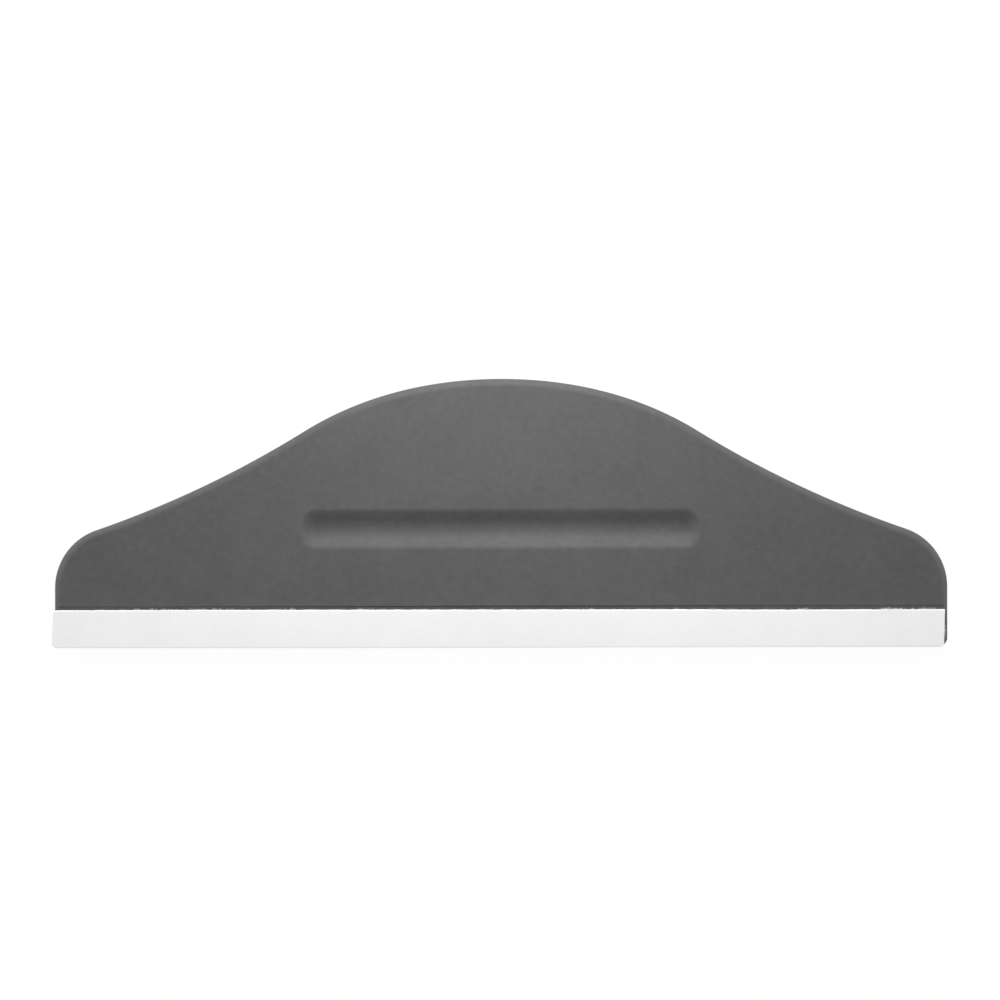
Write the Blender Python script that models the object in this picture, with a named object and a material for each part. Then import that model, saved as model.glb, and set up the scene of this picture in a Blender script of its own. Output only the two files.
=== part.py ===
"""A hand squeegee with no handle: a plastic plate with a felt strip glued along its working edge.

Units are metres. +X runs along the working edge, +Y from that edge up to the crest of the plate,
and +Z out of the front face, the one with the finger groove. The origin is on the flat back, in
the middle of the plate.

In each function heights up the plate are counted from the working edge, and the empty that
carries the pieces sets them half a plate lower.
"""

import math

import bmesh
import bpy

# Outline of the plate, seen from the front
PLATE_WIDTH = 0.280
PLATE_HEIGHT = 0.084
CREST_HALF_WIDTH = 0.0616  # from the centre line to the steepest point of the outline
CREST_DROP = 0.0163  # from the crest down to that point
FLANK_SLOPE = math.radians(31.7)  # of the outline at its steepest point
SHOULDER_SLOPE = math.radians(19.0)  # of the outline where the shoulder starts
SHOULDER_RADIUS = 0.0192
SIDE_HEIGHT = 0.0186  # from the working edge up to where the shoulder ends
CORNER_RADIUS = 0.0025  # at both ends of the working edge

# Thickness of the plate, which falls evenly from the crest to the working edge
CREST_THICKNESS = 0.0050
EDGE_THICKNESS = 0.0030
RIM_RADIUS = 0.0024  # along the front edge, all round
BACK_RADIUS = 0.0005  # along the back edge, all round

# Finger groove in the front face
GROOVE_LENGTH = 0.1256
GROOVE_WIDTH = 0.0132
GROOVE_WALL_SLOPE = math.radians(26.0)
GROOVE_BOTTOM_RADIUS = 0.0066
GROOVE_LIP_RADIUS = 0.0033
GROOVE_END = 0.0045  # length over which each end closes
GROOVE_LEVEL = 0.0370  # from the working edge up to its middle

# Felt strip, its adhesive, and the rebate that they lie in
FELT_HEIGHT = 0.0120
FELT_THICKNESS = 0.0015
FELT_OVERHANG = 0.0003  # how far it reaches past the working edge
FELT_SHIFT = 0.0009  # how far it sits to the left of the plate
FELT_CORNER_RADIUS = 0.0016
FELT_TOP_GAP = 0.0011  # between the felt and the shoulder of the rebate
ADHESIVE_THICKNESS = 0.0002
ADHESIVE_MARGIN = 0.0010  # how far it stays inside the felt all round
REBATE_DEPTH = 0.0004  # at the shoulder above the felt; it runs out towards the working edge
SEAT_CLEARANCE = 0.0001  # between two faces that lie on each other

# Fineness of the round shapes
OUTLINE_STEPS = 14
RIM_SEGMENTS = 8
BACK_SEGMENTS = 3
FELT_CORNER_SEGMENTS = 6
GROOVE_END_STEPS = 24
GROOVE_BOTTOM_STEPS = 8
GROOVE_LIP_STEPS = 5

CUT_MARGIN = 0.0050  # how far a cutter reaches past what it cuts
LIP_RUNOUT = 0.00002  # how far the groove's cutter clears the face where its lip ends
NEAR = 0.000005  # points this close are one point, or lie on the same face
STRAIGHT_ANGLE = math.radians(0.05)  # a bend less than this is none
FACING = 0.5  # a face looks along an axis where its normal has more than this along it
SHARP_ANGLE = math.radians(35)

# Colour and roughness
PLASTIC_FINISH = ((0.118, 0.118, 0.116), 0.55)
FELT_FINISH = ((0.87, 0.87, 0.86), 0.95)
ADHESIVE_FINISH = ((0.78, 0.75, 0.66), 0.50)


def clear_scene():
    for obj in list(bpy.data.objects):
        bpy.data.objects.remove(obj)


def new_collection(name):
    collection = bpy.data.collections.new(name)
    bpy.context.scene.collection.children.link(collection)
    return collection


def new_material(name, finish_values):
    colour, roughness = finish_values
    material = bpy.data.materials.new(name)
    material.use_nodes = True
    shader = material.node_tree.nodes["Principled BSDF"]
    shader.inputs["Base Color"].default_value = (*colour, 1.0)
    shader.inputs["Roughness"].default_value = roughness
    shader.inputs["Metallic"].default_value = 0.0
    material.diffuse_color = (*colour, 1.0)
    return material


def new_object(name, mesh, collection, parent):
    obj = bpy.data.objects.new(name, mesh)
    collection.objects.link(obj)
    obj.parent = parent
    return obj


def new_cutter(name, mesh, collection, parent):
    cutter = new_object(name, mesh, collection, parent)
    cutter.hide_render = True
    cutter.display_type = "WIRE"
    return cutter


def evaluated_mesh(obj):
    """A new mesh of the object as it shows: a curve filled, or a mesh with its modifiers applied."""
    bpy.context.view_layer.update()
    graph = bpy.context.evaluated_depsgraph_get()
    return bpy.data.meshes.new_from_object(obj.evaluated_get(graph))


def cut(obj, cutter):
    modifier = obj.modifiers.new(cutter.name, "BOOLEAN")
    modifier.operation = "DIFFERENCE"
    modifier.object = cutter
    whole = obj.data
    obj.data = evaluated_mesh(obj)
    obj.modifiers.clear()
    bpy.data.meshes.remove(whole)


def round_edges(obj, radius, segments, is_wanted):
    shape = bmesh.new()
    shape.from_mesh(obj.data)
    bmesh.ops.bevel(
        shape,
        geom=[edge for edge in shape.edges if is_wanted(edge)],
        offset=radius,
        offset_type="OFFSET",
        segments=segments,
        profile=0.5,
        affect="EDGES",
        clamp_overlap=True,
        material=-1,
    )
    shape.to_mesh(obj.data)
    shape.free()


def finish(obj, material):
    obj.data.name = obj.name
    obj.data.shade_smooth()
    obj.data.set_sharp_from_angle(angle=SHARP_ANGLE)
    obj.data.materials.append(material)


def box_mesh(name, low, high):
    shape = bmesh.new()
    bmesh.ops.create_cube(shape, size=1.0)
    size = [top - bottom for bottom, top in zip(low, high)]
    middle = [(top + bottom) / 2 for bottom, top in zip(low, high)]
    bmesh.ops.scale(shape, verts=shape.verts, vec=size)
    bmesh.ops.translate(shape, verts=shape.verts, vec=middle)
    mesh = bpy.data.meshes.new(name)
    shape.to_mesh(mesh)
    shape.free()
    return mesh


def front_height(y):
    """How high the plate's front face lies above its back, y up from the working edge."""
    return EDGE_THICKNESS + (CREST_THICKNESS - EDGE_THICKNESS) * y / PLATE_HEIGHT


def rebate_height():
    """From the working edge up to the shoulder above the felt."""
    return FELT_HEIGHT - FELT_OVERHANG + FELT_TOP_GAP


def blade_thickness():
    """How much plastic is left behind the felt."""
    return front_height(rebate_height()) - REBATE_DEPTH


def handle_reach(start, end):
    """How long both Bezier handles between two knots are, so that the stretch is as round as an arc."""
    chord = math.hypot(end[0] - start[0], end[1] - start[1])
    turn = abs(math.remainder(end[2] - start[2], math.tau))
    if turn < NEAR:
        return chord / 3
    return chord * 2 * math.tan(turn / 4) / (3 * math.sin(turn / 2))


def plate_knots():
    """The knots of the outline, clockwise from the crest, each as x, y and the direction of travel."""
    half = PLATE_WIDTH / 2
    shoulder_x = half - SHOULDER_RADIUS * (1 - math.sin(SHOULDER_SLOPE))
    shoulder_y = SIDE_HEIGHT + SHOULDER_RADIUS * math.cos(SHOULDER_SLOPE)
    right = [
        (CREST_HALF_WIDTH, PLATE_HEIGHT - CREST_DROP, -FLANK_SLOPE),
        (shoulder_x, shoulder_y, -SHOULDER_SLOPE),
        (half, SIDE_HEIGHT, -math.pi / 2),
        (half, CORNER_RADIUS, -math.pi / 2),
        (half - CORNER_RADIUS, 0.0, -math.pi),
    ]
    left = [(-x, y, -direction) for x, y, direction in reversed(right)]
    return [(0.0, PLATE_HEIGHT, 0.0), *right, *left]


def outline_curve(knots, thickness):
    """A filled flat outline through the knots, as thick as asked."""
    curve = bpy.data.curves.new("outline", "CURVE")
    curve.dimensions = "2D"
    curve.fill_mode = "BOTH"
    curve.extrude = thickness / 2
    curve.resolution_u = OUTLINE_STEPS
    spline = curve.splines.new("BEZIER")
    spline.bezier_points.add(len(knots) - 1)
    spline.use_cyclic_u = True
    for index, knot in enumerate(knots):
        x, y, direction = knot
        before = handle_reach(knots[index - 1], knot)
        after = handle_reach(knot, knots[(index + 1) % len(knots)])
        along = (math.cos(direction), math.sin(direction))
        point = spline.bezier_points[index]
        point.handle_left_type = "FREE"
        point.handle_right_type = "FREE"
        point.co = (x, y, 0.0)
        point.handle_left = (x - before * along[0], y - before * along[1], 0.0)
        point.handle_right = (x + after * along[0], y + after * along[1], 0.0)
    return curve


def make_plate_blank(collection, parent):
    """The outline at the crest's thickness, with its front face then brought down to the taper."""
    curve = outline_curve(plate_knots(), CREST_THICKNESS)
    outline = new_object("outline", curve, collection, None)
    mesh = evaluated_mesh(outline)
    bpy.data.objects.remove(outline)
    bpy.data.curves.remove(curve)
    blank = bmesh.new()
    blank.from_mesh(mesh)
    bmesh.ops.remove_doubles(blank, verts=blank.verts, dist=NEAR)
    # The fill's triangles become one face each side, and points along straight lines go.
    bmesh.ops.dissolve_limit(
        blank, angle_limit=STRAIGHT_ANGLE, verts=blank.verts, edges=blank.edges
    )
    for vertex in blank.verts:
        vertex.co.z = front_height(vertex.co.y) if vertex.co.z > 0 else 0.0
    bmesh.ops.recalc_face_normals(blank, faces=blank.faces)
    blank.to_mesh(mesh)
    blank.free()
    return new_object("squeegee_plate", mesh, collection, parent)


def groove_depth():
    """How deep the groove is: as deep as its straight walls would meet, less the round bottom."""
    reach = GROOVE_WIDTH / 2 - GROOVE_LIP_RADIUS * math.tan(GROOVE_WALL_SLOPE / 2)
    filled = GROOVE_BOTTOM_RADIUS * (1 / math.cos(GROOVE_WALL_SLOPE) - 1)
    return reach * math.tan(GROOVE_WALL_SLOPE) - filled


def groove_section():
    """Half of the groove's section, from its lip to its axis.

    Each point is a distance from the axis and a height over the plate's face. A straight wall lies
    between the round lip and the round bottom.
    """
    half = GROOVE_WIDTH / 2
    section = [(half, LIP_RUNOUT)]
    for step in range(1, GROOVE_LIP_STEPS + 1):
        slope = GROOVE_WALL_SLOPE * step / GROOVE_LIP_STEPS
        fall = GROOVE_LIP_RADIUS * (1 - math.cos(slope))
        section.append((half - GROOVE_LIP_RADIUS * math.sin(slope), -fall))
    for step in range(GROOVE_BOTTOM_STEPS, -1, -1):
        slope = GROOVE_WALL_SLOPE * step / GROOVE_BOTTOM_STEPS
        rise = GROOVE_BOTTOM_RADIUS * (1 - math.cos(slope))
        section.append((GROOVE_BOTTOM_RADIUS * math.sin(slope), rise - groove_depth()))
    return section


def make_groove_cutter(collection, parent):
    """A trough with round ends: half a turned dish, narrowed, drawn out to the middle and mirrored."""
    section = groove_section()
    straight = GROOVE_LENGTH / 2 - GROOVE_END
    profile = [(0.0, CUT_MARGIN), (section[0][0], CUT_MARGIN), *section]
    trough = bmesh.new()
    points = [trough.verts.new((0.0, -reach, height)) for reach, height in profile]
    line = [trough.edges.new(pair) for pair in zip(points, points[1:])]
    bmesh.ops.spin(
        trough,
        geom=points + line,
        axis=(0.0, 0.0, 1.0),
        cent=(0.0, 0.0, 0.0),
        angle=math.pi,
        steps=GROOVE_END_STEPS,
    )
    bmesh.ops.remove_doubles(trough, verts=trough.verts, dist=NEAR)
    bmesh.ops.scale(trough, verts=trough.verts, vec=(GROOVE_END / section[0][0], 1.0, 1.0))
    bmesh.ops.translate(trough, verts=trough.verts, vec=(straight, 0.0, 0.0))
    open_edges = [edge for edge in trough.edges if edge.is_boundary]
    drawn = bmesh.ops.extrude_edge_only(trough, edges=open_edges)
    for item in drawn["geom"]:
        if isinstance(item, bmesh.types.BMVert):
            item.co.x = 0.0
    half_trough = trough.verts[:] + trough.edges[:] + trough.faces[:]
    bmesh.ops.mirror(trough, geom=half_trough, axis="X", merge_dist=NEAR)
    bmesh.ops.recalc_face_normals(trough, faces=trough.faces)
    mesh = bpy.data.meshes.new("groove_cutter")
    trough.to_mesh(mesh)
    trough.free()
    cutter = new_cutter("groove_cutter", mesh, collection, parent)
    cutter.location = (0.0, GROOVE_LEVEL, front_height(GROOVE_LEVEL))
    cutter.rotation_euler.x = math.atan2(CREST_THICKNESS - EDGE_THICKNESS, PLATE_HEIGHT)
    return cutter


def make_rebate_cutter(collection, parent):
    """A box over the working edge that leaves the blade behind the felt."""
    reach = PLATE_WIDTH / 2 + CUT_MARGIN
    low = (-reach, -CUT_MARGIN, blade_thickness())
    high = (reach, rebate_height(), CREST_THICKNESS + CUT_MARGIN)
    return new_cutter("rebate_cutter", box_mesh("rebate_cutter", low, high), collection, parent)


def is_front_rim(edge):
    """An edge between the front face and the plate's side."""
    on_front = all(abs(v.co.z - front_height(v.co.y)) < NEAR for v in edge.verts)
    return on_front and min(face.normal.z for face in edge.link_faces) < FACING


def is_back_rim(edge):
    """An edge between the back and the plate's side."""
    on_back = all(abs(v.co.z) < NEAR for v in edge.verts)
    return on_back and max(face.normal.z for face in edge.link_faces) > -FACING


def is_lower_corner(edge):
    """One of the two edges through the thickness of a strip at its lower corners."""
    first, second = (v.co for v in edge.verts)
    return first.xy == second.xy and first.y < FELT_HEIGHT / 2


def make_plate(parts, cutters, parent, material):
    plate = make_plate_blank(parts, parent)
    round_edges(plate, min(RIM_RADIUS, CORNER_RADIUS - NEAR), RIM_SEGMENTS, is_front_rim)
    round_edges(plate, BACK_RADIUS, BACK_SEGMENTS, is_back_rim)
    cut(plate, make_rebate_cutter(cutters, parent))
    cut(plate, make_groove_cutter(cutters, parent))
    finish(plate, material)


def make_adhesive(parts, parent, material):
    half = PLATE_WIDTH / 2 - ADHESIVE_MARGIN
    bottom = blade_thickness() + SEAT_CLEARANCE
    low = (-half - FELT_SHIFT, ADHESIVE_MARGIN - FELT_OVERHANG, bottom)
    top = FELT_HEIGHT - FELT_OVERHANG - ADHESIVE_MARGIN
    high = (half - FELT_SHIFT, top, bottom + ADHESIVE_THICKNESS)
    adhesive = new_object("adhesive_strip", box_mesh("adhesive_strip", low, high), parts, parent)
    finish(adhesive, material)


def make_felt(parts, parent, material):
    half = PLATE_WIDTH / 2
    bottom = blade_thickness() + ADHESIVE_THICKNESS + 2 * SEAT_CLEARANCE
    low = (-half - FELT_SHIFT, -FELT_OVERHANG, bottom)
    high = (half - FELT_SHIFT, FELT_HEIGHT - FELT_OVERHANG, bottom + FELT_THICKNESS)
    felt = new_object("felt_strip", box_mesh("felt_strip", low, high), parts, parent)
    round_edges(felt, FELT_CORNER_RADIUS, FELT_CORNER_SEGMENTS, is_lower_corner)
    finish(felt, material)


def main():
    clear_scene()
    parts = new_collection("squeegee")
    cutters = new_collection("cutters")
    carrier = new_object("squeegee", None, parts, None)
    carrier.location.y = -PLATE_HEIGHT / 2
    make_plate(parts, cutters, carrier, new_material("moulded_plastic", PLASTIC_FINISH))
    make_adhesive(parts, carrier, new_material("adhesive", ADHESIVE_FINISH))
    make_felt(parts, carrier, new_material("white_felt", FELT_FINISH))


main()
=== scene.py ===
import math
import random

import bmesh
import bpy
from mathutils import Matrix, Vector, noise


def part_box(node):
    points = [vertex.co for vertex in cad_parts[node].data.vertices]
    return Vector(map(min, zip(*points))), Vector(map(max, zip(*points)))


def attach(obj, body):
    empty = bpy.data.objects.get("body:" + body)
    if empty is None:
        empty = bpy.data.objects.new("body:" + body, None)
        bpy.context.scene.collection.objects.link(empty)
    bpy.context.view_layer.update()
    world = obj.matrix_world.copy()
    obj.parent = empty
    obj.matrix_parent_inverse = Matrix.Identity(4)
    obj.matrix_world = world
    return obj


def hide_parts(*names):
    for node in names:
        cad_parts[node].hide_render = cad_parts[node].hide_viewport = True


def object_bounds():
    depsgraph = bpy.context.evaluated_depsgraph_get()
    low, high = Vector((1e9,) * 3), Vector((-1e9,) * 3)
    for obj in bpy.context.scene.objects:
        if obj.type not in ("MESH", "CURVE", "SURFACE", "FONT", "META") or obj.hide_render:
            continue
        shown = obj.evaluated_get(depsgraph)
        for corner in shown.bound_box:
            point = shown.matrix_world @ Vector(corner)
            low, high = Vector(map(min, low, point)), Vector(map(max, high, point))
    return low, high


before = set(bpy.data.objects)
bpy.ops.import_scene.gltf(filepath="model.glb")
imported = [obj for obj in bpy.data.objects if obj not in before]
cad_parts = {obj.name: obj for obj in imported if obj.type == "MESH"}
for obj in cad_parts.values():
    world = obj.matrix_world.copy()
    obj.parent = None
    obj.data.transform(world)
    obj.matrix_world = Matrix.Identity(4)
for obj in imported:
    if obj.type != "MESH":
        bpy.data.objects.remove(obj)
cadLow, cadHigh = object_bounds()
plateLow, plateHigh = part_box("squeegee_plate")
feltLow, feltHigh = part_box("felt_strip")
glueLow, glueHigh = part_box("adhesive_strip")
noise.seed_set(1)    # without it the noise vectors start from the clock, and each run differs
print("frame loaded:", ", ".join(sorted(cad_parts)))


# materials

noiseRange = (0.3, 0.7)    # a noise texture's values mostly stay within this


def addNode(tree, kind, **inputs):
    # a socket given as a value is linked, anything else is set; an underscore in a name stands for a space
    node = tree.nodes.new(kind)
    for name, value in inputs.items():
        socket = node.inputs[name.replace("_", " ")]
        if isinstance(value, bpy.types.NodeSocket):
            tree.links.new(value, socket)
        else:
            socket.default_value = value
    return node


def addNoise(tree, place, scale, detail, roughness=0.5):
    node = addNode(tree, "ShaderNodeTexNoise", Vector=place, Scale=scale, Detail=detail, Roughness=roughness)
    return node.outputs["Fac"]


def addBump(tree, shader, height, distance, strength=1.0):
    bump = addNode(tree, "ShaderNodeBump", Height=height, Distance=distance, Strength=strength)
    tree.links.new(bump.outputs["Normal"], shader.inputs["Normal"])


def mixColour(tree, factor, first, second, blend="MIX"):
    node = tree.nodes.new("ShaderNodeMix")
    node.data_type = "RGBA"
    node.blend_type = blend
    for socket, value in ((node.inputs[0], factor), (node.inputs[6], first), (node.inputs[7], second)):
        if isinstance(value, bpy.types.NodeSocket):
            tree.links.new(value, socket)
        else:
            socket.default_value = value
    return node.outputs[2]


def rescale(tree, value, low, high, newLow, newHigh):
    node = addNode(tree, "ShaderNodeMapRange", Value=value)
    for name, number in (("From Min", low), ("From Max", high), ("To Min", newLow), ("To Max", newHigh)):
        node.inputs[name].default_value = number
    return node.outputs["Result"]


def newMaterial(name):
    material = bpy.data.materials.new(name)
    material.use_nodes = True
    tree = material.node_tree
    place = tree.nodes.new("ShaderNodeTexCoord").outputs["Object"]
    return material, tree, tree.nodes["Principled BSDF"], place


plasticLook = {
    "darker": (0.0717, 0.0717, 0.0717, 1.0),
    "lighter": (0.0787, 0.0787, 0.0787, 1.0),
    "speck": (0.128, 0.128, 0.128, 1.0),
    "cloudScale": 60,            # waves per metre
    "flowScale": 450,
    "flowDepth": 0.14,           # share of the colour
    "grainScale": 2600,
    "speckScale": 95,            # cells per metre, with one speck in each
    "speckSize": 0.024,          # of a cell
    "speckCore": 0.5,            # share of that size within which it has its full colour
    # a cell's random value from which its speck shows, and from which nothing more is added to it
    "speckShare": (0.52, 0.92),
    "grainHeight": 0.00002,
    "roughness": (0.58, 0.66),
    "specular": 0.30,
}


def mouldedPlastic():
    look = plasticLook
    material, tree, shader, place = newMaterial("moulded plastic")
    cloud = addNoise(tree, place, look["cloudScale"], detail=3.0)
    grain = addNoise(tree, place, look["grainScale"], detail=4.0, roughness=0.6)
    flow = addNoise(tree, place, look["flowScale"], detail=2.0)
    tone = rescale(tree, cloud, *noiseRange, 0.0, 1.0)
    body = mixColour(tree, tone, look["darker"], look["lighter"])
    depth = look["flowDepth"] / 2
    shade = rescale(tree, flow, *noiseRange, 1.0 - depth, 1.0 + depth)
    body = mixColour(tree, 1.0, body, shade, blend="MULTIPLY")
    # dust: the cells are flat, as seen from the front, and most of the specks are too faint to show
    specks = addNode(tree, "ShaderNodeTexVoronoi", Vector=place, Scale=look["speckScale"])
    specks.voronoi_dimensions = "2D"
    core = look["speckSize"] * look["speckCore"]
    spot = rescale(tree, specks.outputs["Distance"], look["speckSize"], core, 0.0, 1.0)
    strength = rescale(tree, specks.outputs["Color"], *look["speckShare"], 0.0, 1.0)
    dusty = mixColour(tree, strength, body, look["speck"])
    tree.links.new(mixColour(tree, spot, body, dusty), shader.inputs["Base Color"])
    rough = rescale(tree, grain, *noiseRange, *look["roughness"])
    tree.links.new(rough, shader.inputs["Roughness"])
    addBump(tree, shader, grain, look["grainHeight"])
    shader.inputs["Specular IOR Level"].default_value = look["specular"]
    return material


feltLook = {
    "darker": (0.855, 0.855, 0.855, 1.0),
    "lighter": (0.905, 0.905, 0.905, 1.0),
    # painted shade: the felt's colour in its middle, greyer than at its ends
    "shadedMiddle": (0.915, 0.915, 0.915, 1.0),
    "shadeReach": 0.10,           # from the middle to where the painted shade ends
    "patchScale": 110,           # waves per metre
    "patchDepth": 0.03,          # share of the colour
    "matScale": 3200,            # waves per metre, across the fibres
    "stretch": (0.45, 1.0, 1.0),
    "matHeight": 0.000006,
    "roughness": 0.95,
    "specular": 0.2,
    "sheen": 0.10,
}


def whiteFelt():
    look = feltLook
    material, tree, shader, place = newMaterial("white felt")
    stretched = addNode(tree, "ShaderNodeMapping", Vector=place, Scale=look["stretch"]).outputs["Vector"]
    matting = addNoise(tree, stretched, look["matScale"], detail=5.0, roughness=0.65)
    tone = rescale(tree, matting, *noiseRange, 0.0, 1.0)
    body = mixColour(tree, tone, look["darker"], look["lighter"])
    # painted shade: greyer in the middle of the strip, to even out the lamps that light its middle more than
    # its ends
    apart = tree.nodes.new("ShaderNodeMath")
    apart.operation = "ABSOLUTE"
    tree.links.new(addNode(tree, "ShaderNodeSeparateXYZ", Vector=place).outputs["X"], apart.inputs[0])
    unshaded = rescale(tree, apart.outputs[0], 0.0, look["shadeReach"], 0.0, 1.0)
    paintedShade = mixColour(tree, unshaded, look["shadedMiddle"], (1.0, 1.0, 1.0, 1.0))
    body = mixColour(tree, 1.0, body, paintedShade, blend="MULTIPLY")
    patches = addNoise(tree, place, look["patchScale"], detail=2.0)
    shade = rescale(tree, patches, *noiseRange, 1.0 - look["patchDepth"], 1.0)
    tree.links.new(mixColour(tree, 1.0, body, shade, blend="MULTIPLY"), shader.inputs["Base Color"])
    addBump(tree, shader, matting, look["matHeight"])
    shader.inputs["Roughness"].default_value = look["roughness"]
    shader.inputs["Specular IOR Level"].default_value = look["specular"]
    shader.inputs["Sheen Weight"].default_value = look["sheen"]
    return material


glueLook = {
    "darker": (0.74, 0.70, 0.60, 1.0),
    "lighter": (0.82, 0.79, 0.70, 1.0),
    "patchScale": 500,           # waves per metre
    "patchHeight": 0.00002,
    "bumpStrength": 0.6,
    "roughness": 0.35,
}


def acrylicGlue():
    look = glueLook
    material, tree, shader, place = newMaterial("acrylic glue")
    patches = addNoise(tree, place, look["patchScale"], detail=3.0)
    tree.links.new(mixColour(tree, patches, look["darker"], look["lighter"]), shader.inputs["Base Color"])
    addBump(tree, shader, patches, look["patchHeight"], look["bumpStrength"])
    shader.inputs["Roughness"].default_value = look["roughness"]
    return material


# shared steps

tiny = 1e-6            # metres or radians; less than this is nothing
sliceReach = 1e-7      # metres; a corner this near to a cut lies on it
facing = 0.99          # a flat face's normal has at least this share of the direction that it faces
nearlyFacing = 0.9     # and a wavy one's this share
upright = 0.5          # a wall's normal rises less than this
sideways, upwards, forwards = Vector((1.0, 0.0, 0.0)), Vector((0.0, 1.0, 0.0)), Vector((0.0, 0.0, 1.0))


def pieceFrom(shape, name, material, sharpAngle=35.0):
    mesh = bpy.data.meshes.new(name)
    shape.to_mesh(mesh)
    shape.free()
    mesh.materials.append(material)
    mesh.shade_smooth()
    mesh.set_sharp_from_angle(angle=math.radians(sharpAngle))
    piece = bpy.data.objects.new(name, mesh)
    bpy.context.scene.collection.objects.link(piece)
    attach(piece, "root")
    return piece


def weighNormals(piece):
    # the large flat faces keep their shading up to a rounded edge
    weighted = piece.modifiers.new("weighted normals", "WEIGHTED_NORMAL")
    weighted.keep_sharp = True


def shapeOf(curve):
    holder = bpy.data.objects.new(curve.name, curve)
    bpy.context.scene.collection.objects.link(holder)
    bpy.context.view_layer.update()
    mesh = bpy.data.meshes.new_from_object(holder.evaluated_get(bpy.context.evaluated_depsgraph_get()))
    shape = bmesh.new()
    shape.from_mesh(mesh)
    bpy.data.objects.remove(holder)
    bpy.data.curves.remove(curve)
    bpy.data.meshes.remove(mesh)
    return shape


def roundEdges(shape, edges, radius, segments):
    bmesh.ops.bevel(
        shape, geom=edges, offset=radius, offset_type="OFFSET", segments=segments, profile=0.5,
        affect="EDGES", clamp_overlap=False, material=-1,
    )


def pullOut(shape, faces):
    # gives back the corners of the faces that are pulled out, to be put in their place
    pulled = bmesh.ops.extrude_face_region(shape, geom=faces)["geom"]
    return [item for item in pulled if isinstance(item, bmesh.types.BMVert)]


def cutFaces(shape, faces, direction, distance):
    # a plane cuts them at that distance along that direction, and both sides stay
    geometry = set(faces)
    for face in faces:
        geometry.update(face.edges)
        geometry.update(face.verts)
    bmesh.ops.bisect_plane(
        shape, geom=list(geometry), dist=sliceReach, plane_co=direction * distance, plane_no=direction
    )


def valueAlong(table, x):
    # straight from row to row, and level before the first and after the last
    for (start, first), (end, second) in zip(table, table[1:]):
        if x <= end:
            return first + (second - first) * max(0.0, x - start) / (end - start)
    return table[-1][1]


# the plate; heights are counted from the working edge until it is put in its place

plate = {
    "crestHalfWidth": 0.0616,    # from the centre line to the steepest point of the outline
    "crestDrop": 0.0163,         # from the crest down to that point
    "flankSlope": 31.7,          # degrees
    "shoulderSlope": 19.0,
    "shoulderRadius": 0.0192,
    "sideHeight": 0.0186,
    "cornerRadius": 0.0025,
    "crestThickness": 0.0050,
    "edgeThickness": 0.0030,
    "rimRadius": 0.0024,
    "backRadius": 0.0005,
    "stepHeight": 0.0128,        # from the working edge up to the step above the felt
    "stepDepth": 0.0004,
    "stepRounding": 0.00012,
    "ledge": 0.0009,             # between the step and the felt
    # how far the ledge's inner edge rises, at places from the middle outwards
    "ledgeRise": (
        (0.015, -0.00012), (0.030, -0.00010), (0.045, -0.00004), (0.055, 0.00002), (0.065, 0.00008),
        (0.080, 0.00016), (0.095, 0.00022), (0.110, 0.00024), (0.125, 0.00024), (0.1365, 0.00024),
        (0.1385, 0.0),
    ),
    "outlineSteps": 48,
    "rimSegments": 14,
    "backSegments": 4,
    "stepSegments": 3,
}
groove = {
    "length": 0.1262,
    "shift": -0.0002,            # off the centre line
    "width": 0.0132,
    "wallSlope": 27.0,           # degrees
    "bottomRadius": 0.0066,
    "lipRadius": 0.0033,
    "end": 0.0050,               # length over which each end closes
    "level": 0.0370,             # of its middle
    "margin": 0.0006,            # flat plate that is cut along with it
    "rows": 48,
    "endColumns": 26,
}


def frontHeight(y):
    rise = plate["crestThickness"] - plate["edgeThickness"]
    return plate["edgeThickness"] + rise * y / (plateHigh.y - plateLow.y)


def plateKnots():
    # places on the outline, from the crest round to the right, each with the outline's direction there
    half = (plateHigh.x - plateLow.x) / 2
    height = plateHigh.y - plateLow.y
    flank, shoulder = math.radians(plate["flankSlope"]), math.radians(plate["shoulderSlope"])
    radius, corner = plate["shoulderRadius"], plate["cornerRadius"]
    shoulderReach = half - radius * (1 - math.sin(shoulder))
    shoulderHeight = plate["sideHeight"] + radius * math.cos(shoulder)
    right = [
        (plate["crestHalfWidth"], height - plate["crestDrop"], -flank),
        (shoulderReach, shoulderHeight, -shoulder),
        (half, plate["sideHeight"], -math.pi / 2),
        (half, corner, -math.pi / 2),
        (half - corner, 0.0, -math.pi),
    ]
    left = [(-x, y, -turn) for x, y, turn in reversed(right)]
    return [(0.0, height, 0.0), *right, *left]


def handleReach(start, end):
    # a Bezier handle this long makes the stretch as round as an arc
    chord = math.hypot(end[0] - start[0], end[1] - start[1])
    turn = abs(math.remainder(end[2] - start[2], math.tau))
    return chord / 3 if turn < tiny else chord * 2 * math.tan(turn / 4) / (3 * math.sin(turn / 2))


def outlineLoop(knots, steps):
    curve = bpy.data.curves.new("outline", "CURVE")
    curve.dimensions = "2D"
    curve.fill_mode = "NONE"
    curve.resolution_u = steps
    spline = curve.splines.new("BEZIER")
    spline.bezier_points.add(len(knots) - 1)
    spline.use_cyclic_u = True
    for index, (x, y, turn) in enumerate(knots):
        point = spline.bezier_points[index]
        along = Vector((math.cos(turn), math.sin(turn), 0.0))
        point.handle_left_type = point.handle_right_type = "FREE"
        point.co = (x, y, 0.0)
        point.handle_left = point.co - along * handleReach(knots[index - 1], knots[index])
        point.handle_right = point.co + along * handleReach(knots[index], knots[(index + 1) % len(knots)])
    shape = shapeOf(curve)
    bmesh.ops.remove_doubles(shape, verts=shape.verts, dist=tiny)
    return shape


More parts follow.
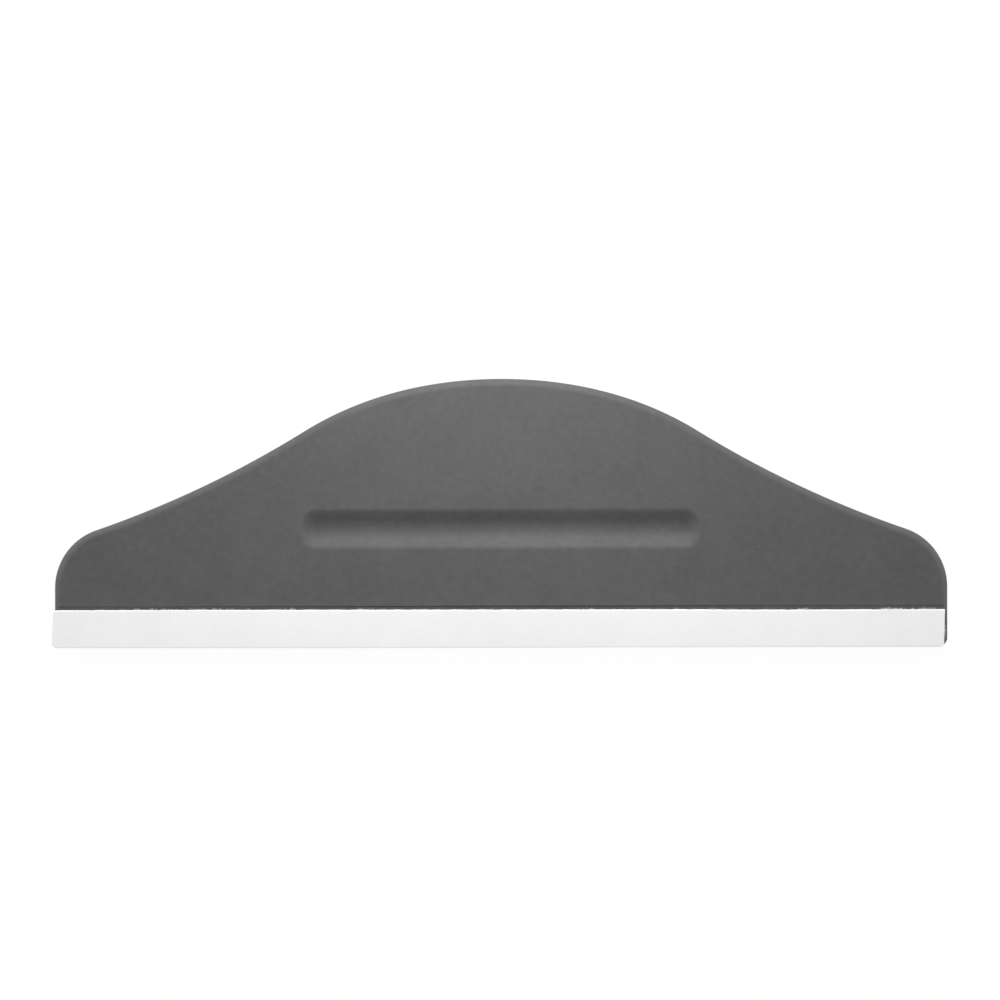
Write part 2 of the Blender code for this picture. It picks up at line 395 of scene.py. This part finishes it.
def grooveDepth(x, y):
    # sloping walls between a round lip and a round bottom; the section turns round at the ends, drawn in
    half, bottom, lip = groove["width"] / 2, groove["bottomRadius"], groove["lipRadius"]
    slope = math.radians(groove["wallSlope"])
    past = max(0.0, abs(x - groove["shift"]) - (groove["length"] / 2 - groove["end"]))
    away = math.hypot(past * half / groove["end"], y - groove["level"])
    if away >= half:
        return 0.0
    if half - away < lip * math.sin(slope):
        return lip - math.sqrt(lip**2 - (half - away) ** 2)
    wallTop = half - lip * math.tan(slope / 2)
    if away < bottom * math.sin(slope):
        deepest = wallTop * math.tan(slope) + bottom - bottom / math.cos(slope)
        return deepest - bottom + math.sqrt(bottom**2 - away**2)
    return (wallTop - away) * math.tan(slope)


def sinkGroove(shape):
    # the front face is cut into rows and columns round the groove, and their corners sink into it
    halfLength = groove["length"] / 2 + groove["margin"]
    halfWidth = groove["width"] / 2 + groove["margin"]
    low, high = groove["level"] - halfWidth, groove["level"] + halfWidth

    def inside(point):
        return abs(point.x) < halfLength and low < point.y < high

    def frontFaces():
        return [face for face in shape.faces if face.normal.z > facing]

    for y in (low, high):
        cutFaces(shape, frontFaces(), upwards, y)
    for x in (-halfLength, halfLength):
        middle = [face for face in frontFaces() if low < face.calc_center_median().y < high]
        cutFaces(shape, middle, sideways, x)
    rows, columns = groove["rows"], groove["endColumns"]
    closing = groove["end"] + 2 * groove["margin"]
    reaches = [halfLength - closing * column / columns for column in range(1, columns + 1)]
    cuts = [(upwards, low + 2 * halfWidth * row / rows) for row in range(1, rows)]
    cuts += [(sideways, side * x) for side in (-1, 1) for x in reaches]
    for direction, distance in cuts:
        faces = [face for face in frontFaces() if inside(face.calc_center_median())]
        cutFaces(shape, faces, direction, distance)
    corners = {v for face in frontFaces() if inside(face.calc_center_median()) for v in face.verts}
    for v in corners:
        v.co.z -= grooveDepth(v.co.x, v.co.y)


def sinkRebate(shape):
    # all that stands in front of the rebate's floor goes, and two new faces close the plate
    step = plate["stepHeight"]
    floor = frontHeight(step) - plate["stepDepth"]

    def atStep(v):
        return abs(v.co.y - step) < tiny

    def atFloor(v):
        return abs(v.co.z - floor) < tiny

    cutFaces(shape, shape.faces[:], upwards, step)
    cutFaces(shape, [face for face in shape.faces if face.calc_center_median().y < step], forwards, floor)
    centres = [(face, face.calc_center_median()) for face in shape.faces]
    gone = [face for face, centre in centres if centre.y < step and centre.z > floor]
    bmesh.ops.delete(shape, geom=gone, context="FACES")
    opened = [edge for edge in shape.edges if edge.is_boundary]
    ends = {v for edge in opened for v in edge.verts if atStep(v) and atFloor(v)}
    foot = shape.edges.new(sorted(ends, key=lambda v: v.co.x))
    for isOn in (atFloor, atStep):
        loop = [edge for edge in opened + [foot] if all(isOn(v) for v in edge.verts)]
        bmesh.ops.contextual_create(shape, geom=loop)
    bmesh.ops.recalc_face_normals(shape, faces=shape.faces)
    shape.normal_update()

    def isWall(face):
        return face.normal.y < -facing and abs(face.calc_center_median().y - step) < tiny

    def isLedge(face):
        onFloor = face.normal.z > facing and abs(face.calc_center_median().z - floor) < tiny
        return onFloor and max(v.co.y for v in face.verts) > step - tiny

    wall = next(face for face in shape.faces if isWall(face))
    lips = [edge for edge in wall.edges if edge is not foot]
    roundEdges(shape, lips, plate["stepRounding"], plate["stepSegments"])
    shape.normal_update()

    # the step fades towards its ends, where the ledge below it rises to meet it
    cuts = [(upwards, step - plate["ledge"])]
    cuts += [(sideways, side * x) for x, _ in plate["ledgeRise"] for side in (1, -1)]
    for direction, distance in cuts:
        cutFaces(shape, [face for face in shape.faces if isWall(face) or isLedge(face)], direction, distance)
    for v in shape.verts:
        if atStep(v) and atFloor(v):
            v.co.z += valueAlong(plate["ledgeRise"], abs(v.co.x))


def makePlate(material):
    shape = outlineLoop(plateKnots(), plate["outlineSteps"])
    back = bmesh.ops.contextual_create(shape, geom=shape.edges[:])["faces"]
    for v in pullOut(shape, back):
        v.co.z = frontHeight(v.co.y)
    bmesh.ops.recalc_face_normals(shape, faces=shape.faces)
    shape.normal_update()

    def isFrontRim(edge):
        on = all(abs(v.co.z - frontHeight(v.co.y)) < tiny for v in edge.verts)
        return on and min(face.normal.z for face in edge.link_faces) < upright

    def isBackRim(edge):
        on = all(v.co.z < tiny for v in edge.verts)
        return on and max(face.normal.z for face in edge.link_faces) > -upright

    frontRim = [edge for edge in shape.edges if isFrontRim(edge)]
    roundEdges(shape, frontRim, plate["rimRadius"], plate["rimSegments"])
    backRim = [edge for edge in shape.edges if isBackRim(edge)]
    roundEdges(shape, backRim, plate["backRadius"], plate["backSegments"])
    shape.normal_update()
    sinkRebate(shape)
    shape.normal_update()
    sinkGroove(shape)
    bmesh.ops.translate(shape, verts=shape.verts, vec=(0.0, plateLow.y, plateLow.z))
    piece = pieceFrom(shape, "squeegeePlate", material)
    weighNormals(piece)
    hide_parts("squeegee_plate")
    return piece


# the felt and its glue

def stripShape(low, high, cell):
    # a flat grid at the height of the strip's face
    size = high - low
    shape = bmesh.new()
    bmesh.ops.create_grid(shape, x_segments=round(size.x / cell), y_segments=round(size.y / cell), size=0.5)
    bmesh.ops.scale(shape, verts=shape.verts, vec=(size.x, size.y, 1.0))
    bmesh.ops.translate(shape, verts=shape.verts, vec=((low.x + high.x) / 2, (low.y + high.y) / 2, high.z))
    return shape


def drawDown(shape, depth):
    # gives the grid its thickness, and gives back the corners of its underside
    under = pullOut(shape, shape.faces[:])
    bmesh.ops.translate(shape, verts=under, vec=forwards * -depth)
    bmesh.ops.recalc_face_normals(shape, faces=shape.faces)
    return under


def roundCorner(shape, corner, inward, radius):
    # the square of that size at the corner is pressed into a quarter of a disc
    centre = corner + Vector((inward * radius, radius, 0.0))
    for v in shape.verts:
        across = (centre.x - v.co.x) * inward / radius
        down = (centre.y - v.co.y) / radius
        if across > 0 and down > 0:
            v.co.x = centre.x - inward * radius * across * math.sqrt(1 - down**2 / 2)
            v.co.y = centre.y - radius * down * math.sqrt(1 - across**2 / 2)


felt = {
    "cell": 0.0004,
    "leftCorner": 0.0017,
    "rightCorner": 0.0012,
    "leftSkew": 2.2,             # degrees off square
    "rightSkew": 1.5,
    "skewPower": 8,              # the higher it is, the nearer to the ends the skew stays
    "upperEdgeRadius": 0.00040,
    "upperEdgeSegments": 6,
    "edgeRadius": 0.00002,
    "edgeSegments": 2,
    "undercut": 0.00003,         # of the lower edge, cut by a slanting blade
    "ripple": 0.000012,
    "rippleScale": 900,          # waves per metre
    "wobble": 0.00010,           # of the upper edge
    "wobbleScale": 260,
    "wobbleNoise": (0.8, 2.2, 3),   # dimension, lacunarity and octaves
    # how far each long edge lies above its straight line, at places along it
    "upperShift": (
        (-0.14, -0.00004), (-0.095, 0.00002), (-0.05, -0.00003), (0.0, -0.00008), (0.06, -0.00010),
        (0.08, -0.00028), (0.14, -0.00023),
    ),
    "lowerShift": (
        (-0.14, 0.00019), (-0.095, 0.00012), (-0.05, 0.00002), (0.0, 0.00001), (0.04, 0.00007), (0.14, 0.0),
    ),
}


def asCut(place):
    # where a point of the strip lies, as its ends aren't quite square nor its long edges quite straight
    middle = (feltLow.x + feltHigh.x) / 2
    if place.x < middle:
        drift = (place.y - feltLow.y) * math.tan(math.radians(felt["leftSkew"]))
    else:
        drift = (place.y - feltHigh.y) * math.tan(math.radians(felt["rightSkew"]))
    share = abs(place.x - middle) / (feltHigh.x - middle)
    height = (place.y - feltLow.y) / (feltHigh.y - feltLow.y)
    along = Vector((place.x * felt["wobbleScale"], 0.0, 0.0))
    wave = felt["wobble"] * noise.fractal(along, *felt["wobbleNoise"])
    upper = valueAlong(felt["upperShift"], place.x) + wave
    lower = valueAlong(felt["lowerShift"], place.x)
    return place + Vector((drift * share ** felt["skewPower"], upper * height + lower * (1 - height), 0.0))


def makeFelt(material):
    shape = stripShape(feltLow, feltHigh, felt["cell"])
    roundCorner(shape, Vector((feltLow.x, feltLow.y, 0.0)), 1, felt["leftCorner"])
    roundCorner(shape, Vector((feltHigh.x, feltLow.y, 0.0)), -1, felt["rightCorner"])
    for v in shape.verts:
        v.co = asCut(v.co)
    for v in drawDown(shape, feltHigh.z - feltLow.z):
        v.co.y += felt["undercut"] * (feltHigh.y - v.co.y) / (feltHigh.y - feltLow.y)
    shape.normal_update()

    def isFaceRim(edge):
        on = all(v.co.z > feltHigh.z - tiny for v in edge.verts)
        return on and any(abs(face.normal.z) < upright for face in edge.link_faces)

    rim = [edge for edge in shape.edges if isFaceRim(edge)]
    upper = [edge for edge in rim if any(face.normal.y > nearlyFacing for face in edge.link_faces)]
    roundEdges(shape, upper, felt["upperEdgeRadius"], felt["upperEdgeSegments"])
    rest = [edge for edge in rim if edge.is_valid and edge not in upper]
    roundEdges(shape, rest, felt["edgeRadius"], felt["edgeSegments"])
    for v in shape.verts:
        if v.co.z > feltLow.z + tiny:
            v.co += noise.noise_vector(v.co * felt["rippleScale"]) * felt["ripple"]
    piece = pieceFrom(shape, "feltStrip", material, sharpAngle=60.0)
    weighNormals(piece)
    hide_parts("felt_strip")
    return piece


fuzz = {
    "thickness": 0.00002,        # half of a fibre's width
    "taper": 0.25,               # share of its width that a fibre loses at each bend
    "bends": 3,
    "curl": 0.35,                # how sharply it bends
    "bendForwards": 0.6,         # of that, how much leads out of the felt's face
    "upperEdge": 12000,          # fibres per metre
    "lowerEdge": 800,
    "ends": 3000,
    "spread": 0.5,               # of the directions in which they leave the edge
    "rootDepth": 0.00008,        # of their roots inside the edge
    "rootReach": 0.8,            # share of the felt's thickness, down from its face, that they grow from
    "shortest": 0.00008,
    "usual": 0.00016,
    "longest": 0.00070,
    "longestBelow": 0.00030,     # at the lower edge and the ends
    "above": 0.0001,             # the most that a fibre stands above the felt's face
    "stepMargin": 0.0001,        # a fibre this near to the step already keeps above the plate's face
    # where more of it is teased out along the upper edge: from, to, fibres
    "tufts": (
        (-0.116, -0.084, 110), (-0.070, -0.062, 16), (-0.050, -0.036, 40), (0.027, 0.029, 8),
        (0.054, 0.056, 8), (0.063, 0.072, 20), (0.093, 0.096, 24), (0.119, 0.1265, 90), (0.128, 0.137, 50),
    ),
    "endTuft": (-0.0385, -0.0352, 22),   # up the right end
    "tuftThickness": 2.0,        # times a fibre's
    "tuftLength": (0.0004, 0.0010),
    "tuftCurl": 0.6,
    "tuftRoot": 0.0001,          # inside the edge
    "tuftDrop": 0.0003,          # the most that one starts below the felt's face
    "seed": 7,
}


def makeFuzz(material):
    # loose fibres round the felt's cut edges, each a thin bent strand
    dice = random.Random(fuzz["seed"])
    curve = bpy.data.curves.new("strands", "CURVE")
    curve.dimensions = "3D"
    curve.bevel_depth = fuzz["thickness"]
    curve.bevel_resolution = 0
    stepLevel = plateLow.y + plate["stepHeight"] - fuzz["stepMargin"]
    plateFace = frontHeight(plate["stepHeight"]) + plateLow.z + fuzz["thickness"]

    def strand(root, heading, length, thickness=1.0, curl=fuzz["curl"]):
        spline = curve.splines.new("POLY")
        spline.points.add(fuzz["bends"])
        place = Vector(root)
        heading = heading.normalized()
        for index, point in enumerate(spline.points):
            point.co = (*place, 1.0)
            point.radius = thickness * (1.0 - fuzz["taper"] * index)
            bend = Vector((dice.gauss(0, 1), dice.gauss(0, 1), dice.gauss(0, fuzz["bendForwards"])))
            heading = (heading + bend * curl).normalized()
            place = place + heading * length / fuzz["bends"]
            place.z = min(max(place.z, feltLow.z), feltHigh.z + fuzz["above"])
            if place.y > stepLevel:
                place.z = max(place.z, plateFace)

    def growEdge(start, end, outward, perMetre, longest):
        for _ in range(round((end - start).length * perMetre)):
            root = asCut(start.lerp(end, dice.random()))
            root.z = feltHigh.z - (feltHigh.z - feltLow.z) * dice.random() ** 2 * fuzz["rootReach"]
            heading = outward + Vector([dice.gauss(0, fuzz["spread"]) for _ in range(3)])
            length = min(fuzz["shortest"] + dice.expovariate(1 / fuzz["usual"]), longest)
            strand(root - outward * fuzz["rootDepth"], heading, length)

    def growTufted(root, heading):
        root.z -= fuzz["tuftDrop"] * dice.random()
        strand(root, heading, dice.uniform(*fuzz["tuftLength"]), fuzz["tuftThickness"], fuzz["tuftCurl"])

    lowerLeft, lowerRight = Vector((feltLow.x, feltLow.y, 0.0)), Vector((feltHigh.x, feltLow.y, 0.0))
    upperLeft, upperRight = Vector((feltLow.x, feltHigh.y, 0.0)), Vector((feltHigh.x, feltHigh.y, 0.0))
    # none grow on the rounded corners
    across, up = sideways * felt["leftCorner"], upwards * felt["leftCorner"]
    growEdge(upperLeft, upperRight, upwards, fuzz["upperEdge"], fuzz["longest"])
    growEdge(lowerLeft + across, lowerRight - across, -upwards, fuzz["lowerEdge"], fuzz["longestBelow"])
    growEdge(lowerLeft + up, upperLeft, -sideways, fuzz["ends"], fuzz["longestBelow"])
    growEdge(lowerRight + up, upperRight, sideways, fuzz["ends"], fuzz["longestBelow"])
    for start, end, count in fuzz["tufts"]:
        for _ in range(count):
            root = asCut(Vector((dice.uniform(start, end), feltHigh.y - fuzz["tuftRoot"], feltHigh.z)))
            growTufted(root, Vector((dice.gauss(0, 1), 1, 0)))
    start, end, count = fuzz["endTuft"]
    for _ in range(count):
        root = asCut(Vector((feltHigh.x - fuzz["tuftRoot"], dice.uniform(start, end), feltHigh.z)))
        growTufted(root, Vector((1, dice.gauss(0, 1), 0)))
    return pieceFrom(shapeOf(curve), "feltFuzz", material, sharpAngle=180.0)


glue = {
    "cell": 0.001,
    "ripple": 0.0001,            # of its edges
    "rippleScale": 400,          # waves per metre
}


def makeGlue(material):
    shape = stripShape(glueLow, glueHigh, glue["cell"])
    for v in shape.verts:
        if v.is_boundary:
            v.co.xy += noise.noise_vector(v.co * glue["rippleScale"]).xy * glue["ripple"]
    drawDown(shape, glueHigh.z - glueLow.z)
    piece = pieceFrom(shape, "glueFilm", material)
    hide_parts("adhesive_strip")
    return piece


plastic, whiteFibre, acrylic = mouldedPlastic(), whiteFelt(), acrylicGlue()
platePiece = makePlate(plastic)
print("plate:", len(platePiece.data.polygons), "faces")
gluePiece = makeGlue(acrylic)
feltPiece = makeFelt(whiteFibre)
fuzzPiece = makeFuzz(whiteFibre)
softFaces = sum(len(piece.data.polygons) for piece in (feltPiece, fuzzPiece, gluePiece))
print("felt, fuzz and glue:", softFaces, "faces")


# floor, light and camera

stage = {
    "size": 6.0,
    "drop": 0.0002,              # under the plate's back
    "paper": (0.80, 0.80, 0.80, 1.0),        # what throws light back at the plate
    "seenPaper": (0.05, 0.05, 0.05, 1.0),    # what the camera sees, along with the glow
    "glow": 0.965,
    "sky": 0.408,                # how bright it is to the plate; to the camera it is 1
}
lamps = {
    "overPlate": {"place": (0.0, 0.075, 0.15), "size": (0.12, 0.10), "power": 0.104},
    "pastCrest": {"place": (0.0, 0.12, 0.11), "size": (0.15, 0.10), "power": 0.158},
    "farPanel": {"place": (0.0, 1.0, 0.35), "size": (1.5, 0.4), "power": 7.06},
    "leftPanel": {"place": (-0.30, 0.08, 0.07), "size": (0.2, 0.1), "power": 0.29},
    "rightPanel": {"place": (0.30, 0.08, 0.07), "size": (0.2, 0.1), "power": 0.25},
}
view = {
    "width": 1000,               # pixels of the whole picture
    "pixel": 0.00031393,         # metres that one of them spans at the plate
    "distance": 3.0,
    "sensor": 36.0,              # millimetres
    "centre": (-0.0003, 0.0040),
    "roll": 0.12,                # degrees
}


def seenByCamera(tree):
    # 1 for camera, glossy and transmission rays, and 0 for the rest
    path = tree.nodes.new("ShaderNodeLightPath").outputs
    total = path["Is Camera Ray"]
    for name in ("Is Glossy Ray", "Is Transmission Ray"):
        node = tree.nodes.new("ShaderNodeMath")
        node.operation = "MAXIMUM"
        tree.links.new(total, node.inputs[0])
        tree.links.new(path[name], node.inputs[1])
        total = node.outputs[0]
    return total


def mixShaders(tree, factor, first, second):
    node = tree.nodes.new("ShaderNodeMixShader")
    tree.links.new(factor, node.inputs[0])
    tree.links.new(first, node.inputs[1])
    tree.links.new(second, node.inputs[2])
    return node.outputs[0]


def whitePaper():
    # it lights the plate as paper does, shows as a white that takes a faint shadow, and is clear from below
    material = bpy.data.materials.new("white paper")
    material.use_nodes = True
    tree = material.node_tree
    tree.nodes.clear()
    paper = addNode(tree, "ShaderNodeBsdfDiffuse", Color=stage["paper"]).outputs[0]
    dimmer = addNode(tree, "ShaderNodeBsdfDiffuse", Color=stage["seenPaper"]).outputs[0]
    glow = addNode(tree, "ShaderNodeEmission", Strength=stage["glow"]).outputs[0]
    both = tree.nodes.new("ShaderNodeAddShader")
    tree.links.new(dimmer, both.inputs[0])
    tree.links.new(glow, both.inputs[1])
    seen = mixShaders(tree, seenByCamera(tree), paper, both.outputs[0])
    clear = tree.nodes.new("ShaderNodeBsdfTransparent").outputs[0]
    below = tree.nodes.new("ShaderNodeNewGeometry").outputs["Backfacing"]
    output = tree.nodes.new("ShaderNodeOutputMaterial")
    tree.links.new(mixShaders(tree, below, seen, clear), output.inputs["Surface"])
    return material


def makeFloor():
    shape = bmesh.new()
    bmesh.ops.create_grid(shape, x_segments=1, y_segments=1, size=stage["size"] / 2)
    bmesh.ops.translate(shape, verts=shape.verts, vec=(0.0, 0.0, cadLow.z - stage["drop"]))
    mesh = bpy.data.meshes.new("floor")
    shape.to_mesh(mesh)
    shape.free()
    mesh.materials.append(whitePaper())
    floor = bpy.data.objects.new("floor", mesh)
    bpy.context.scene.collection.objects.link(floor)


def makeSky():
    world = bpy.data.worlds.new("studio")
    bpy.context.scene.world = world
    world.use_nodes = True
    tree = world.node_tree
    background = tree.nodes["Background"]
    background.inputs["Color"].default_value = (1.0, 1.0, 1.0, 1.0)
    strength = rescale(tree, seenByCamera(tree), 0.0, 1.0, stage["sky"], 1.0)
    tree.links.new(strength, background.inputs["Strength"])


def makeLamps():
    for name, values in lamps.items():
        data = bpy.data.lights.new(name, "AREA")
        data.shape = "RECTANGLE"
        data.size, data.size_y = values["size"]
        data.energy = values["power"]
        lamp = bpy.data.objects.new(name, data)
        bpy.context.scene.collection.objects.link(lamp)
        lamp.location = values["place"]
        lamp.rotation_euler = (-lamp.location).to_track_quat("-Z", "Y").to_euler()    # towards the origin
        lamp.visible_camera = False


def makeCamera():
    data = bpy.data.cameras.new("camera")
    data.sensor_width = view["sensor"]
    data.lens = view["sensor"] * view["distance"] / (view["width"] * view["pixel"])
    camera = bpy.data.objects.new("camera", data)
    bpy.context.scene.collection.objects.link(camera)
    camera.location = (*view["centre"], view["distance"])
    camera.rotation_euler.z = -math.radians(view["roll"])
    bpy.context.scene.camera = camera


makeFloor()
makeSky()
makeLamps()
makeCamera()
bpy.context.scene.view_settings.view_transform = "Standard"
print("stage ready")
